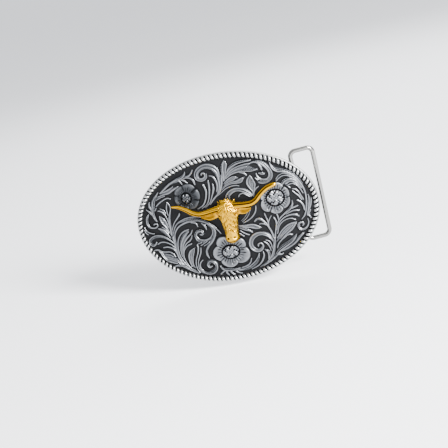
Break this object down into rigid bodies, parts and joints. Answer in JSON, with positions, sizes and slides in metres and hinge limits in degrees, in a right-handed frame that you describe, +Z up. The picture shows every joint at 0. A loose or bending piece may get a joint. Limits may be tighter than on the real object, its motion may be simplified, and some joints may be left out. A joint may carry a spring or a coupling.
{
  "type": "belt buckle",
  "caption": "Bent oval western dress buckle with a rope edge, scroll and flower overlays, a gilt longhorn emblem, a swinging wire bail and a fixed hook on the back.",
  "frame": {"origin": "centre of the plate's rear face, where the belt's front lies", "axes": "+X along the plate towards the bail end (the viewer's right), -Y out of the decorated face, +Z up as worn"},
  "size_m": [0.1, 0.022, 0.069],
  "materials": {
    "oxidised_ground": "black oxidised ground, satin",
    "rope_silver": "antiqued silver plate, polished on top",
    "relief_silver": "antiqued silver plate, brushed highlights",
    "gilt": "polished gold plate",
    "bright_wire": "polished nickel plate",
    "back_fittings": "tumbled nickel plate"
  },
  "bodies": {
    "plate": {"base_plate": "oxidised_ground", "belt_hook": "back_fittings", "emblem_rivets": "back_fittings", "flower_left": "relief_silver", "flower_lower": "relief_silver", "flower_right": "relief_silver", "hinge_saddle": "back_fittings", "hinge_sleeve": "bright_wire", "hook_pad": "back_fittings", "overlay_acanthus_right": "relief_silver", "overlay_arch_left": "relief_silver", "overlay_arch_over_head": "relief_silver", "overlay_crest_right": "relief_silver", "overlay_fingers_top": "relief_silver", "overlay_lancet_leaf": "relief_silver", "overlay_leaf_beside_muzzle": "relief_silver", "overlay_leaf_top": "relief_silver", "overlay_leaf_upper_left": "relief_silver", "overlay_swag_bottom": "relief_silver", "overlay_tree_left": "relief_silver", "overlay_tree_right": "relief_silver", "overlay_volute_bottom": "relief_silver", "overlay_volute_right": "relief_silver", "overlay_volute_top": "relief_silver", "rope_edge": "rope_silver", "steer_emblem": "gilt"},
    "bail": {"bail_loop": "bright_wire"}
  },
  "joints": [
    {"name": "bail_swing", "type": "hinge", "parent": "plate", "child": "bail", "pos_m": [0.0384, 0.00726, 0], "axis": [0, 0, 1], "range_deg": [-16, 160]}
  ]
}
